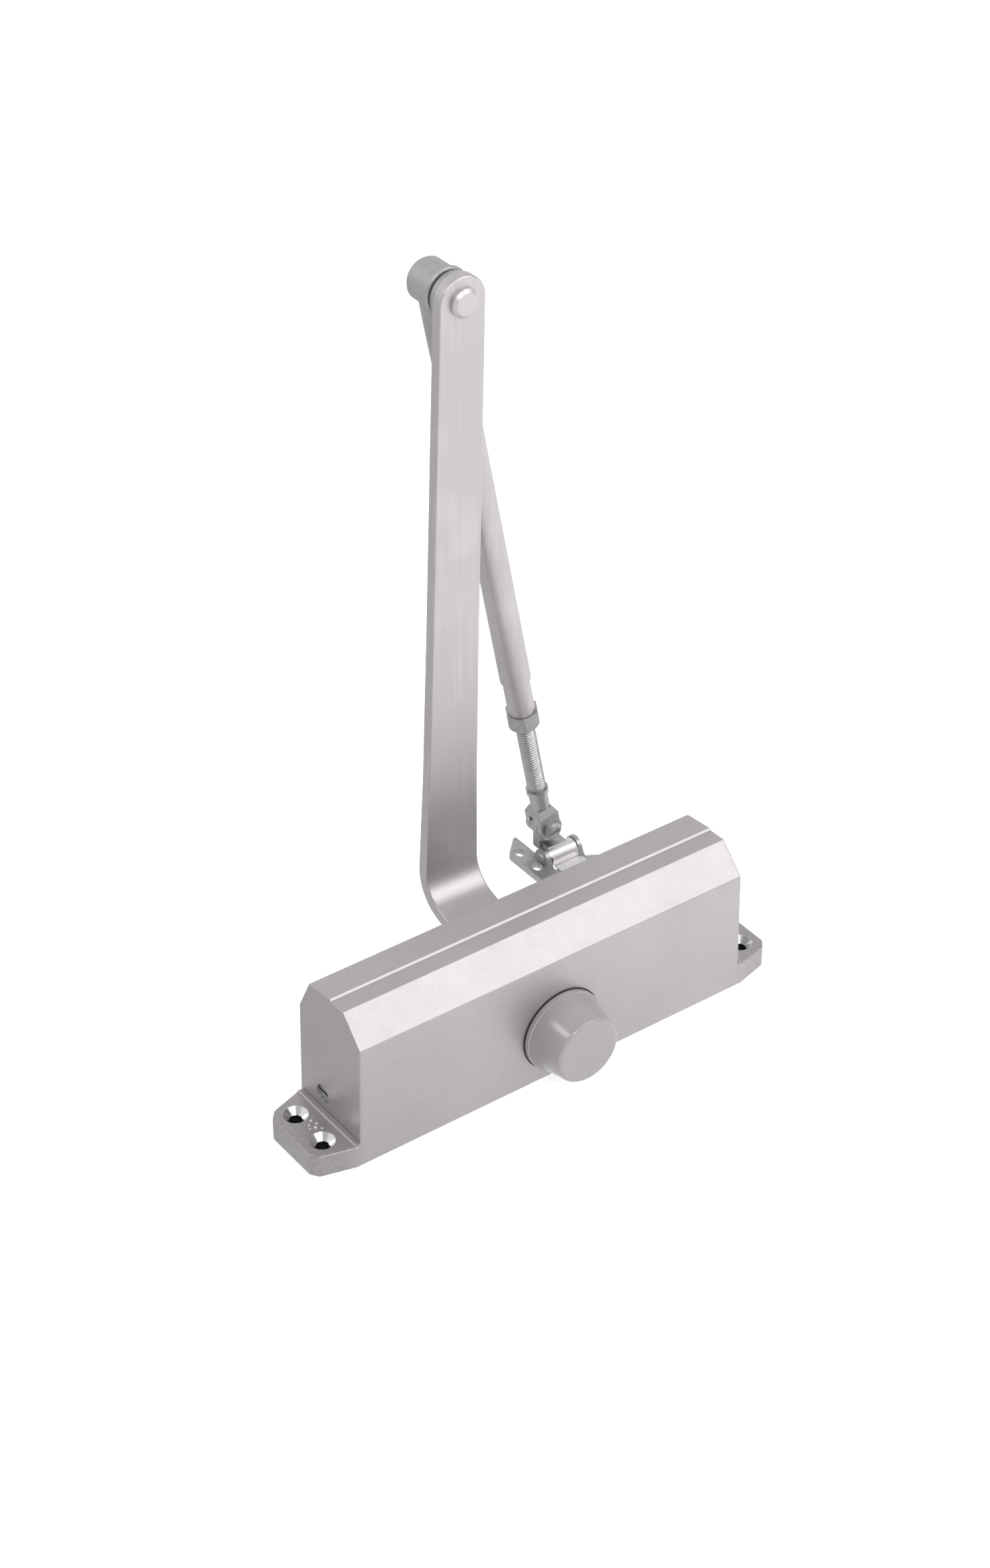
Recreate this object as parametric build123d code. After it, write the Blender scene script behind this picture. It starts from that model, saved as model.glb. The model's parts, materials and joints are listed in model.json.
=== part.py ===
from build123d import *
import math
import os

# Overhead door closer: a rack-and-pinion hydraulic body with a folding arm.
# Units are millimetres. The body lies on its mounting face (z = 0), +Z points
# away from that face, X runs along the body and Y along the pinion. The origin
# is the middle of the four-hole fixing pattern, on the mounting face.
# The arm is on the +Y side and the pinion cover cap on the -Y side.

# ---- driving dimensions ----
BODY_LENGTH = 191.0      # end face to end face, measured at the mounting face
BODY_WIDTH = 42.0        # along the pinion
END_DRAFT = 1.3          # casting draft of each end face, over the full height
LUG_THICKNESS = 10.0
LUG_TIP = 114.5          # tip of each fixing lug, from the middle
FIX_X = 105.5            # fixing holes, from the middle along the body
FIX_Y = 9.5              # half the 19 mm pitch across a lug
FIX_R = 2.75
FIX_SINK_R = 5.4

PINION_X = 2.5
PINION_Z = 21.9
TEETH = 12
MODULE = 1.5
PRESSURE_ANGLE = math.radians(20)
BACKLASH = 0.30
PITCH_R = TEETH * MODULE / 2
JOURNAL_R = 7.0
SQUARE = 11.0

BORE_Z = 33.0
BORE_R = 17.0
BORE_END = -58.0         # blind end of the cylinder
PISTON_R = 16.9
PISTON_LEFT = -52.0
PISTON_RIGHT = 30.0
WINDOW_LEFT = -34.0
WINDOW_RIGHT = 15.5
PLUG_INNER = 83.5
SPRING_FLOOR = 22.0      # bottom of the spring pocket in the piston

CAP_BASE_R = 18.4
CAP_FRONT_R = 14.6
CAP_HEIGHT = 18.5

ARM_ANGLE = 1.67         # lean of the main arm towards +X
ARM_LENGTH = 291.0       # pinion axis to elbow axis
ARM_THICKNESS = 5.5
ARM_LOW_Y = 24.6         # inner face of the arm where it sits on the pinion
ARM_FRONT_Y = 55.2       # inner face of the arm above the joggle
BEND_LOW = 12.4          # where the joggle leaves the pinion end, along the arm
BEND_HIGH = 22.0         # where it meets the long straight part
FOREARM_ANGLE = 10.85    # lean of the forearm as it comes down from the elbow
FOREARM_Y = 71.2         # plane of the forearm's centre line
PIN_U = 274.6            # elbow axis to fork pin axis, along the forearm
TUBE_R = 6.5
ROD_R = 4.1
THREAD_PITCH_R = 3.7     # the threaded length of the rod, as its pitch cylinder

SHOE_X = 65.5            # middle of the shoe's hinge barrel
SHOE_Y = 64.0
SHOE_Z = 31.0
BARREL_R = 4.0
SHOE_HALF = 17.0
SHOE_BASE_TOP = 29.5
SHOE_BASE_THICKNESS = 2.7
SHOE_HOLE_X = 12.7       # holes, from the middle of the barrel
SHOE_SLOT_YS = (-1.2, 11.0)
SHOE_HOLE_Y = -15.8      # the single round hole on the far side

RUN = 0.06               # running clearance on a radius


# ---- small helpers ----
def cyl_x(x0, x1, r, y=0.0, z=0.0):
    """Solid cylinder along X from x0 to x1."""
    plane = Plane(origin=(x0, y, z), x_dir=(0, 1, 0), z_dir=(1, 0, 0))
    return extrude(plane * Circle(r), x1 - x0)


def cyl_y(y0, y1, r, x=0.0, z=0.0):
    """Solid cylinder along Y from y0 to y1."""
    plane = Plane(origin=(x, y0, z), x_dir=(1, 0, 0), z_dir=(0, 1, 0))
    return extrude(plane * Circle(r), y1 - y0)


def cyl_z(z0, z1, r, x=0.0, y=0.0):
    """Solid cylinder along Z from z0 to z1."""
    return Pos(x, y, z0) * extrude(Circle(r), z1 - z0)


def block(x0, x1, y0, y1, z0, z1):
    """Box between two corners."""
    size = (x1 - x0, y1 - y0, z1 - z0)
    return Pos((x0 + x1) / 2, (y0 + y1) / 2, (z0 + z1) / 2) * Box(*size)


def ring_y(y0, y1, r_out, r_in, x, z):
    """Plain ring along Y."""
    return cyl_y(y0, y1, r_out, x, z) - cyl_y(y0 - 1, y1 + 1, r_in, x, z)


def turned_y(points, x, z):
    """Turned solid about a Y axis through (x, z), from (radius, y) points."""
    outline = [(x + r, y) for r, y in points]
    face = make_face(Polyline(*outline, close=True))
    solid = revolve(face, Axis((x, 0, 0), (0, 1, 0)), 360)
    return Pos(0, 0, z) * solid


def turned_x(points, y, z):
    """Turned solid about an X axis through (y, z), from (x, radius) points."""
    outline = [(x, y + r) for x, r in points]
    face = make_face(Polyline(*outline, close=True))
    solid = revolve(face, Axis((0, y, 0), (1, 0, 0)), 360)
    return Pos(0, 0, z) * solid


def prism_x(points, x0, x1):
    """Outline of (y, z) points, extruded along X."""
    plane = Plane(origin=(x0, 0, 0), x_dir=(0, 1, 0), z_dir=(1, 0, 0))
    return extrude(plane * make_face(Polyline(*points, close=True)), x1 - x0)


def prism_y(points, y0, y1):
    """Outline of (x, z) points, extruded along +Y."""
    plane = Plane(origin=(0, y0, 0), x_dir=(1, 0, 0), z_dir=(0, -1, 0))
    return extrude(plane * make_face(Polyline(*points, close=True)), -(y1 - y0))


def o_ring_x(x, y, z, ring_r, cord_r):
    """O-ring about an X axis."""
    plane = Plane(origin=(x, y, z), x_dir=(0, 1, 0), z_dir=(1, 0, 0))
    return plane * Torus(ring_r, cord_r)


def hexagon_x(x0, x1, across_flats, y, z):
    """Hexagonal prism along X."""
    plane = Plane(origin=(x0, y, z), x_dir=(0, 1, 0), z_dir=(1, 0, 0))
    flat = RegularPolygon(across_flats / 2, 6, major_radius=False)
    return extrude(plane * flat, x1 - x0)


def long_edges(solid, axis, at_least):
    """Straight edges along an axis that are at least so long."""
    return [e for e in solid.edges().filter_by(axis) if e.length >= at_least]


nodes = {}


# ---- body casting ----
SECTION = [
    (-21.0, 0.0),
    (21.0, 0.0),
    (21.0, 53.5),
    (14.0, 68.0),
    (-0.3, 69.7),
    (-1.1, 68.9),
    (-9.3, 69.2),
    (-21.0, 57.0),
]
half = BODY_LENGTH / 2
casting = prism_x(SECTION, -half, half)
drafted = [(-half, -1), (half, -1), (half - END_DRAFT, 70), (-half + END_DRAFT, 70)]
casting = casting & prism_y(drafted, -30, 30)
ridges = [e for e in long_edges(casting, Axis.X, 150) if e.center().Z > 40]
casting = fillet([e for e in ridges if abs(e.center().Y) > 5], 1.0)
step_edges = [e for e in long_edges(casting, Axis.X, 150) if e.center().Z > 40 and -2 < e.center().Y < 0.5]
casting = fillet(step_edges, 0.3)
end_edges = [e for e in casting.edges() if abs(e.center().X) > half - 2 and e.center().Z > 1]
casting = fillet(end_edges, 0.7)

LUG = [
    (half - 3.0, 21.0),
    (half + 1.5, 21.0),
    (LUG_TIP - 3.5, 16.6),
    (LUG_TIP, 12.5),
    (LUG_TIP, -13.5),
    (LUG_TIP - 2.5, -17.0),
    (half + 1.5, -21.0),
    (half - 3.0, -21.0),
]
for side in (-1, 1):
    corners = [(side * x, y) for x, y in LUG]
    lug = extrude(make_face(Polyline(*corners, close=True)), LUG_THICKNESS)
    tip_edges = [e for e in lug.edges().filter_by(Axis.Z) if abs(e.center().X) > half + 5]
    lug = fillet(tip_edges, 2.5)
    lug = fillet(lug.edges().group_by(Axis.Z)[-1], 0.7)
    for y in (-FIX_Y, FIX_Y):
        lug -= cyl_z(-1, LUG_THICKNESS + 1, FIX_R, side * FIX_X, y)
        sink = Cone(FIX_R, FIX_SINK_R, FIX_SINK_R - FIX_R, align=(Align.CENTER, Align.CENTER, Align.MAX))
        lug -= Pos(side * FIX_X, y, LUG_THICKNESS + 0.01) * sink
    casting += lug
foot_edges = [
    e for e in casting.edges().filter_by(Axis.Y)
    if abs(e.center().Z - LUG_THICKNESS) < 0.1 and abs(e.center().X) < half + 0.5 and e.length > 30
]
casting = fillet(foot_edges, 1.5)

# round bosses that carry the two bearing nuts
casting += cyl_y(-24.0, -20.0, 16.2, PINION_X, PINION_Z)
casting += cyl_y(20.0, 22.5, 16.2, PINION_X, PINION_Z)

# cylinder, pinion chamber, bearing bores, pinion passage
casting -= cyl_x(BORE_END, half + 5, BORE_R, 0, BORE_Z)
casting -= cyl_y(-12.8, 12.8, 12.0, PINION_X, PINION_Z)
casting -= cyl_y(-30, -11, 12.05, PINION_X, PINION_Z)
casting -= cyl_y(11, 30, 12.05, PINION_X, PINION_Z)

# speed-control drillings: one in the closed end, one above the plug
SWEEP = (5.2, 18.5)
LATCH = (4.0, 58.5)
casting -= cyl_x(-half - 2, -66, 4.1, SWEEP[0], SWEEP[1])
casting -= cyl_x(-66.5, BORE_END + 2, 1.6, SWEEP[0], SWEEP[1])
casting -= cyl_x(66, half + 2, 4.1, LATCH[0], LATCH[1])
casting -= cyl_z(BORE_Z, LATCH[1], 1.6, 70, LATCH[0])
nodes["closer_body"] = casting

# ---- end plug, its seal, and the two speed valves ----
plug_end = 94.6
plug = turned_x(
    [(PLUG_INNER, 0), (PLUG_INNER, 16.9), (86.2, 16.9), (86.2, 14.6), (88.8, 14.6),
     (88.8, 16.9), (plug_end, 16.9), (plug_end, 0)], 0, BORE_Z)
plug -= hexagon_x(plug_end - 5.5, plug_end + 1, 10.0, 0, BORE_Z)
plug += turned_x([(PLUG_INNER - 3, 0), (PLUG_INNER - 3, 8.6), (PLUG_INNER + 1, 9.4), (PLUG_INNER + 1, 0)],
                 0, BORE_Z)
nodes["end_plug"] = plug
nodes["end_plug_seal"] = o_ring_x(87.5, 0, BORE_Z, 15.75, 1.1)


def valve(x_head, x_tip, y, z):
    """Slotted needle valve lying along X; returns the screw and its seal."""
    way = 1 if x_tip > x_head else -1
    screw = turned_x(
        [(x_head, 0), (x_head, 3.95), (x_head + way * 11, 3.95), (x_head + way * 11, 2.6),
         (x_head + way * 14, 2.6), (x_head + way * 14, 3.95), (x_head + way * 20, 3.95),
         (x_tip - way * 4, 1.5), (x_tip, 0.4), (x_tip, 0)], y, z)
    slot_ends = sorted((x_head - way, x_head + way * 1.6))
    screw -= block(slot_ends[0], slot_ends[1], y - 5, y + 5, z - 0.6, z + 0.6)
    seal = o_ring_x(x_head + way * 12.5, y, z, 3.35, 0.7)
    return screw, seal


nodes["sweep_valve_screw"], nodes["sweep_valve_seal"] = valve(-half + 1.4, -66.3, *SWEEP)
nodes["latch_valve_screw"], nodes["latch_valve_seal"] = valve(half - 2.4, 67.0, *LATCH)

# ---- pinion supports, the same on both sides ----
for name, side in (("front", -1), ("rear", 1)):
    face = 24.0 if side < 0 else 22.5
    span = sorted((side * 12.9, side * 17.9))
    nodes[name + "_bearing"] = ring_y(span[0], span[1], 12.0, JOURNAL_R + RUN, PINION_X, PINION_Z)
    span = sorted((side * 18.0, side * (face - 0.1)))
    nut = ring_y(span[0], span[1], 12.0, JOURNAL_R + 0.4, PINION_X, PINION_Z)
    recess = sorted((side * 18.0 - side, side * 21.0))
    nut -= cyl_y(recess[0], recess[1], 10.0, PINION_X, PINION_Z)
    for k in range(4):
        notch = sorted((side * (face - 1.8), side * (face + 1)))
        turn = Pos(PINION_X, 0, PINION_Z) * Rot(0, 90 * k + 45, 0)
        nut -= turn * block(10.2, 13, notch[0], notch[1], -1.5, 1.5)
    nodes[name + "_bearing_nut"] = nut
    span = sorted((side * 18.3, side * 20.7))
    nodes[name + "_pinion_seal"] = ring_y(span[0], span[1], 9.9, JOURNAL_R + 0.1, PINION_X, PINION_Z)

# ---- pinion shaft with its gear ----
base_r = PITCH_R * math.cos(PRESSURE_ANGLE)
outer_r = PITCH_R + MODULE
root_r = PITCH_R - 1.25 * MODULE
involute = math.tan(PRESSURE_ANGLE) - PRESSURE_ANGLE
half_tooth = math.pi / (2 * TEETH) - BACKLASH / 2 / PITCH_R


def tooth_half_angle(r):
    """Half the angle a tooth fills at radius r."""
    a = math.acos(min(1.0, base_r / r))
    return half_tooth + involute - (math.tan(a) - a)


gear_points = []
flank = [root_r, base_r] + [base_r + (outer_r - base_r) * k / 5 for k in range(1, 6)]
for tooth in range(TEETH):
    middle = math.pi / 2 + 2 * math.pi * tooth / TEETH
    for r in flank:
        a = middle - tooth_half_angle(max(r, base_r))
        gear_points.append((PINION_X + r * math.cos(a), PINION_Z + r * math.sin(a)))
    for r in reversed(flank):
        a = middle + tooth_half_angle(max(r, base_r))
        gear_points.append((PINION_X + r * math.cos(a), PINION_Z + r * math.sin(a)))
shaft = prism_y(gear_points, -9.5, 9.5)
shaft += cyl_y(-24.4, 23.0, JOURNAL_R, PINION_X, PINION_Z)
shaft += cyl_y(-12.6, -9.3, 9.0, PINION_X, PINION_Z)
shaft += cyl_y(9.3, 12.6, 9.0, PINION_X, PINION_Z)
for y0, y1 in ((-31.0, -24.0), (22.5, 29.6)):
    square = block(-SQUARE / 2, SQUARE / 2, y0, y1, -SQUARE / 2, SQUARE / 2)
    square = square & cyl_y(y0, y1, 7.0)
    shaft += Pos(PINION_X, 0, PINION_Z) * Rot(0, ARM_ANGLE, 0) * square
shaft -= cyl_y(16, 40, 3.0, PINION_X, PINION_Z)
shaft -= cyl_y(-40, -20, 3.0, PINION_X, PINION_Z)
nodes["pinion_shaft"] = shaft

# ---- pinion cover cap: a tapered plastic shell pushed over the front boss ----
cap_front = -21.0 - CAP_HEIGHT
cap = turned_y(
    [(0, cap_front), (CAP_FRONT_R, cap_front), (CAP_BASE_R - 0.7, -23.6), (CAP_BASE_R, -23.4),
     (CAP_BASE_R, -21.05), (16.4, -21.05), (16.4, -25.0), (12.9, cap_front + 1.8),
     (0, cap_front + 1.8)], PINION_X, PINION_Z)
rim = [e for e in cap.edges().filter_by(GeomType.CIRCLE) if abs(e.center().Y - cap_front) < 0.05]
cap = fillet(rim, 1.8)
nodes["pinion_cap"] = cap

# ---- piston with its rack, seal ring and check valve ----
piston = cyl_x(PISTON_LEFT, PISTON_RIGHT, PISTON_R, 0, BORE_Z)
piston -= block(WINDOW_LEFT, WINDOW_RIGHT, -30, 30, 0, 35.6)
pitch_line = PINION_Z + PITCH_R
rack_pitch = math.pi * MODULE
rack_tip = pitch_line - 1.0
rack_root = pitch_line + 1.2 * MODULE
rack = block(WINDOW_LEFT - 1, WINDOW_RIGHT + 1, -9, 9, rack_root, 36)
count = int((WINDOW_RIGHT - WINDOW_LEFT) / rack_pitch)
for k in range(count + 2):
    x = PINION_X + (k - 7 + 0.5) * rack_pitch
    if x < WINDOW_LEFT + 2 or x > WINDOW_RIGHT - 2:
        continue
    wide = rack_pitch / 4 + (rack_root - pitch_line) * math.tan(PRESSURE_ANGLE)
    slim = rack_pitch / 4 - (pitch_line - rack_tip) * math.tan(PRESSURE_ANGLE)
    tooth = [(x - wide, rack_root + 0.1), (x + wide, rack_root + 0.1), (x + slim, rack_tip), (x - slim, rack_tip)]
    rack += prism_y(tooth, -9, 9)
piston += rack
piston -= cyl_x(SPRING_FLOOR, PISTON_RIGHT + 1, 15.2, 0, BORE_Z)
for x in (-48.0, -42.0):
    groove = cyl_x(x, x + 2.4, 20, 0, BORE_Z) - cyl_x(x - 1, x + 4, 15.6, 0, BORE_Z)
    piston -= groove
piston -= cyl_x(PISTON_LEFT - 1, PISTON_LEFT + 9, 4.2, 0, BORE_Z + 4)
piston -= cyl_x(PISTON_LEFT, WINDOW_LEFT + 1, 1.8, 0, BORE_Z + 4)
nodes["rack_piston"] = piston
rings = cyl_x(-47.9, -45.7, 16.85, 0, BORE_Z) - cyl_x(-49, -45, 15.7, 0, BORE_Z)
rings += cyl_x(-41.9, -39.7, 16.85, 0, BORE_Z) - cyl_x(-43, -39, 15.7, 0, BORE_Z)
nodes["piston_rings"] = rings
nodes["check_valve_ball"] = Pos(PISTON_LEFT + 5.6, 0, BORE_Z + 4) * Sphere(3.2)
retainer = cyl_x(PISTON_LEFT + 0.3, PISTON_LEFT + 1.9, 4.2, 0, BORE_Z + 4)
retainer -= cyl_x(PISTON_LEFT - 1, PISTON_LEFT + 3, 1.8, 0, BORE_Z + 4)
nodes["check_valve_retainer"] = retainer

# ---- closing spring between the piston and the end plug ----
WIRE_R = 2.1
spring_length = PLUG_INNER - SPRING_FLOOR - 2 * WIRE_R - 0.4
coil = Helix(pitch=spring_length / 7, height=spring_length, radius=12.4)
coil_start = Plane(origin=coil @ 0, z_dir=coil % 0)
wire = sweep(coil_start * Circle(WIRE_R), path=coil)
wire = Rot(0, 90, 0) * wire
nodes["closing_spring"] = Pos(SPRING_FLOOR + WIRE_R + 0.2, 0, BORE_Z) * wire

# ---- main arm: a tapered strip, joggled outwards above the pinion ----
T = ARM_THICKNESS
low = ARM_LOW_Y
high = ARM_FRONT_Y
steep = math.atan2(high - low, BEND_HIGH - BEND_LOW)
corner = T * math.tan(steep / 2)
side_view = [
    (low, -14.0), (low + T, -14.0), (low + T, BEND_LOW), (high + T, BEND_HIGH), (high + T, ARM_LENGTH + 12),
    (high, ARM_LENGTH + 12), (high, BEND_HIGH + corner), (low, BEND_LOW + corner),
]
strip = prism_x(side_view, -20, 20)
for y, z, radius in (
    (low + T, BEND_LOW, 5.0),
    (low, BEND_LOW + corner, 5.0 + T),
    (high, BEND_HIGH + corner, 14.0),
    (high + T, BEND_HIGH, 14.0 + T),
):
    bend = [e for e in strip.edges().filter_by(Axis.X)
            if abs(e.center().Y - y) < 0.01 and abs(e.center().Z - z) < 0.01]
    strip = fillet(bend, radius)
HALF_WIDTHS = [(0, 13.5), (38, 13.0), (80, 11.9), (150, 11.2), (ARM_LENGTH, 10.4)]
plan = [(-w, u) for u, w in HALF_WIDTHS] + [(w, u) for u, w in reversed(HALF_WIDTHS)]
outline = prism_y(plan, 0, 80)
outline += cyl_y(0, 80, 13.5)
outline += cyl_y(0, 80, 10.4, 0, ARM_LENGTH)
arm = strip & outline


def is_rim(edge):
    """True for the arm's outer edges, not for the lines across its faces or through its thickness."""
    run = (edge @ 1) - (edge @ 0)
    across = abs(run.Y) < 0.001 and abs(run.Z) < 0.001
    through = edge.length < T + 0.1 and abs(run.Z) < 0.001
    return edge.geom_type != GeomType.LINE or not (across or through)


arm = fillet([e for e in arm.edges() if is_rim(e)], 0.9)
arm -= block(-SQUARE / 2 - 0.05, SQUARE / 2 + 0.05, low - 1, low + T + 1, -SQUARE / 2 - 0.05, SQUARE / 2 + 0.05)
arm -= cyl_y(high - 1, high + T + 1, 4.6, 0, ARM_LENGTH)
ARM_PLACE = Pos(PINION_X, 0, PINION_Z) * Rot(0, ARM_ANGLE, 0)
nodes["main_arm"] = ARM_PLACE * arm

washer_y = low + T
nodes["arm_washer"] = ring_y(washer_y + 0.05, washer_y + 1.85, 8.6, 3.4, PINION_X, PINION_Z)
bolt = cyl_y(washer_y - 12, washer_y + 2.0, 2.95, PINION_X, PINION_Z)
hex_head = extrude(
    Plane(origin=(PINION_X, washer_y + 1.9, PINION_Z), x_dir=(1, 0, 0), z_dir=(0, 1, 0))
    * RegularPolygon(5.0, 6, major_radius=False), 4.2)
nodes["arm_screw"] = bolt + hex_head

# ---- elbow: rivet, washer, forearm head ----
angle = math.radians(ARM_ANGLE)
ELBOW_X = PINION_X + ARM_LENGTH * math.sin(angle)
ELBOW_Z = PINION_Z + ARM_LENGTH * math.cos(angle)
front = high
rivet = turned_y(
    [(0, front - 2.9), (4.6, front - 2.7), (5.9, front - 1.6), (5.9, front - 0.05), (4.5, front - 0.05),
     (4.5, 77.2), (6.2, 77.2), (6.2, 79.6), (0, 79.6)], ELBOW_X, ELBOW_Z)
nodes["elbow_rivet"] = rivet
nodes["elbow_washer"] = ring_y(front + T + 0.05, front + T + 2.2, 9.7, 4.6, ELBOW_X, ELBOW_Z)

# the forearm is modelled hanging straight down from (0, 0, 0) and then swung
FOREARM_PLACE = Pos(ELBOW_X, 0, ELBOW_Z) * Rot(0, -FOREARM_ANGLE, 0)
head = turned_y(
    [(4.5 + RUN, 63.2), (6.3, 63.2), (6.3, 65.0), (9.2, 65.0), (9.9, 65.8), (9.9, 66.9), (8.9, 67.4),
     (8.9, 79.0), (8.0, 80.4), (6.5, 80.6), (6.5, 77.0), (4.5 + RUN, 77.0)], 0, 0)
neck_sections = [(-3.0, 8.0), (-25.0, 7.9), (-50.0, 7.3), (-66.0, TUBE_R)]
neck = loft([Pos(0, FOREARM_Y + 0.8, z) * Circle(r) for z, r in neck_sections])
neck += cyl_z(-84.0, -65.5, 4.5, 0, FOREARM_Y)
neck -= cyl_y(60, 90, 8.85, 0, 0)
nodes["forearm_head"] = FOREARM_PLACE * (head + neck)

tube = cyl_z(-193.0, -66.2, TUBE_R, 0, FOREARM_Y)
tube += cyl_z(-210.0, -192.0, 5.7, 0, FOREARM_Y)
tube -= cyl_z(-175.0, -60, 4.55, 0, FOREARM_Y)
tube -= cyl_z(-215.0, -170, ROD_R + RUN, 0, FOREARM_Y)
nodes["forearm_tube"] = FOREARM_PLACE * tube

nut_body = Pos(0, FOREARM_Y, -217.4) * extrude(RegularPolygon(6.5, 6, major_radius=False), 7.2)
dome = Pos(0, FOREARM_Y, -217.4) * Cone(6.6, 7.4, 1.9, align=(Align.CENTER, Align.CENTER, Align.MIN))
nut_body -= cyl_z(-218, -209, ROD_R + RUN, 0, FOREARM_Y)
nodes["lock_nut"] = FOREARM_PLACE * (nut_body & (dome + cyl_z(-215.5, -210.2, 7.4, 0, FOREARM_Y)))

# ---- adjusting rod with its fork ----
rod = cyl_z(-266.0, -254.0, ROD_R, 0, FOREARM_Y)
rod += cyl_z(-254.5, -108.0, THREAD_PITCH_R, 0, FOREARM_Y)
rod += cyl_z(-256.2, -253.8, 4.8, 0, FOREARM_Y)
fork = block(-4.9, 4.9, FOREARM_Y - 5.5, FOREARM_Y + 5.5, -PIN_U, -PIN_U + 10.5)
fork = chamfer(fork.edges().group_by(Axis.Z)[-1], 3.2, 1.6)
fork += cyl_y(FOREARM_Y - 5.5, FOREARM_Y + 5.5, 5.4, 0, -PIN_U)
fork -= block(-10, 10, FOREARM_Y - 2.5, FOREARM_Y + 2.5, -PIN_U - 10, -PIN_U + 6.2)
fork -= cyl_y(0, 100, 2.5, 0, -PIN_U)
nodes["adjusting_rod"] = FOREARM_PLACE * (rod + fork)
pin = turned_y(
    [(0, FOREARM_Y - 8.0), (2.6, FOREARM_Y - 8.0), (3.9, FOREARM_Y - 7.2), (3.9, FOREARM_Y - 5.55),
     (2.5, FOREARM_Y - 5.55), (2.5, FOREARM_Y + 5.55), (3.6, FOREARM_Y + 5.55), (3.6, FOREARM_Y + 6.6),
     (0, FOREARM_Y + 6.9)], 0, -PIN_U)
pin -= block(-5, 5, FOREARM_Y - 9, FOREARM_Y - 7.2, -PIN_U - 0.5, -PIN_U + 0.5)
nodes["fork_pin"] = FOREARM_PLACE * pin

# ---- knuckle: tongue in the fork, barrel in the shoe ----
swing = math.radians(FOREARM_ANGLE)
PIN_X = ELBOW_X + PIN_U * math.sin(swing)
PIN_Z = ELBOW_Z - PIN_U * math.cos(swing)
tongue = cyl_y(FOREARM_Y - 2.3, FOREARM_Y + 2.3, 5.4, PIN_X, PIN_Z)
tongue += block(SHOE_X - 6.7, PIN_X + 4.6, FOREARM_Y - 2.3, FOREARM_Y + 2.3, SHOE_Z + 1.0, PIN_Z)
tongue += block(SHOE_X - 5.6, SHOE_X + 4.0, SHOE_Y, FOREARM_Y + 2.3, SHOE_Z + 1.0, SHOE_Z + 4.6)
tongue -= cyl_y(0, 100, 2.5 + RUN, PIN_X, PIN_Z)
tongue -= cyl_x(0, 100, BARREL_R, SHOE_Y, SHOE_Z)
nodes["knuckle_block"] = tongue
barrel = cyl_x(SHOE_X - 7.0, SHOE_X + 7.0, BARREL_R, SHOE_Y, SHOE_Z)
barrel -= cyl_x(0, 100, 2.5 + RUN, SHOE_Y, SHOE_Z)
nodes["knuckle_barrel"] = barrel

# ---- shoe: a plate with a long slotted wing, a short wing the other way and two ears ----
base_low = SHOE_BASE_TOP - SHOE_BASE_THICKNESS
gap = 7.2
shoe_plan = [
    (-SHOE_HALF, -13.0), (gap, -13.0), (gap + 0.4, -21.8), (gap + 2.4, -23.9), (SHOE_HALF, -18.0),
    (SHOE_HALF, -11.5), (gap + 2.0, -7.0), (gap + 2.0, 6.5), (gap, 6.5), (gap, -7.5), (-gap, -7.5),
    (-gap, 22.6), (-SHOE_HALF, 12.8),
]
shoe = extrude(make_face(Polyline(*shoe_plan, close=True)), SHOE_BASE_THICKNESS)
corners = [e for e in shoe.edges().filter_by(Axis.Z) if abs(e.center().X) > SHOE_HALF - 0.1]
shoe = fillet(corners, 3.0)
tips = [e for e in shoe.edges().filter_by(Axis.Z) if abs(e.center().Y) > 22]
shoe = fillet(tips, 1.0)
shoe = fillet(shoe.edges().group_by(Axis.Z)[-1], 0.4)
shoe = Pos(SHOE_X, SHOE_Y, base_low) * shoe
for side in (-1, 1):
    x = SHOE_X + side * (gap + 1.0)
    ear = prism_x([(SHOE_Y - 6.5, base_low + 1), (SHOE_Y + 6.5, base_low + 1), (SHOE_Y + 4.4, SHOE_Z + 1.2),
                   (SHOE_Y - 4.4, SHOE_Z + 1.2)], x - 1.0, x + 1.0)
    ear += cyl_x(x - 1.0, x + 1.0, 4.6, SHOE_Y, SHOE_Z)
    ear -= block(0, 100, 0, 100, 0, base_low)
    shoe += ear
for y in SHOE_SLOT_YS:
    slot = extrude(SlotOverall(5.8, 4.0, rotation=90), 6)
    shoe -= Pos(SHOE_X - SHOE_HOLE_X, SHOE_Y + y, base_low - 1) * slot
shoe -= cyl_z(base_low - 1, SHOE_BASE_TOP + 1, 2.0, SHOE_X + SHOE_HOLE_X - 0.5, SHOE_Y + SHOE_HOLE_Y)
shoe -= cyl_x(SHOE_X - 10.0, SHOE_X + 10.0, 2.5, SHOE_Y, SHOE_Z)
nodes["shoe"] = shoe
shoe_pin = cyl_x(SHOE_X - 9.8, SHOE_X + 9.8, 2.5, SHOE_Y, SHOE_Z)
nodes["shoe_pin"] = chamfer(shoe_pin.edges().filter_by(GeomType.CIRCLE), 0.5)

# ---- write one file per node ----
os.makedirs("parts", exist_ok=True)
for name, shape in nodes.items():
    shape.label = name
    export_step(shape, "parts/" + name + ".step")
print(len(nodes), "nodes")
print("elbow", round(ELBOW_X, 3), round(ELBOW_Z, 3), "pin", round(PIN_X, 3), round(PIN_Z, 3))
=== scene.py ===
# %% [markdown]
# # An overhead door closer, finished in Blender
# The object is a hydraulic door closer: a silver body with a spring and oil inside, and a
# folding arm that pulls the door shut. Its shapes come ready made from the imported CAD model,
# so this lesson is about finishes, small surface parts that CAD leaves out, light and camera.
# The first cell loads the model.

# %% Load the imported model
import json
import math

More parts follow.
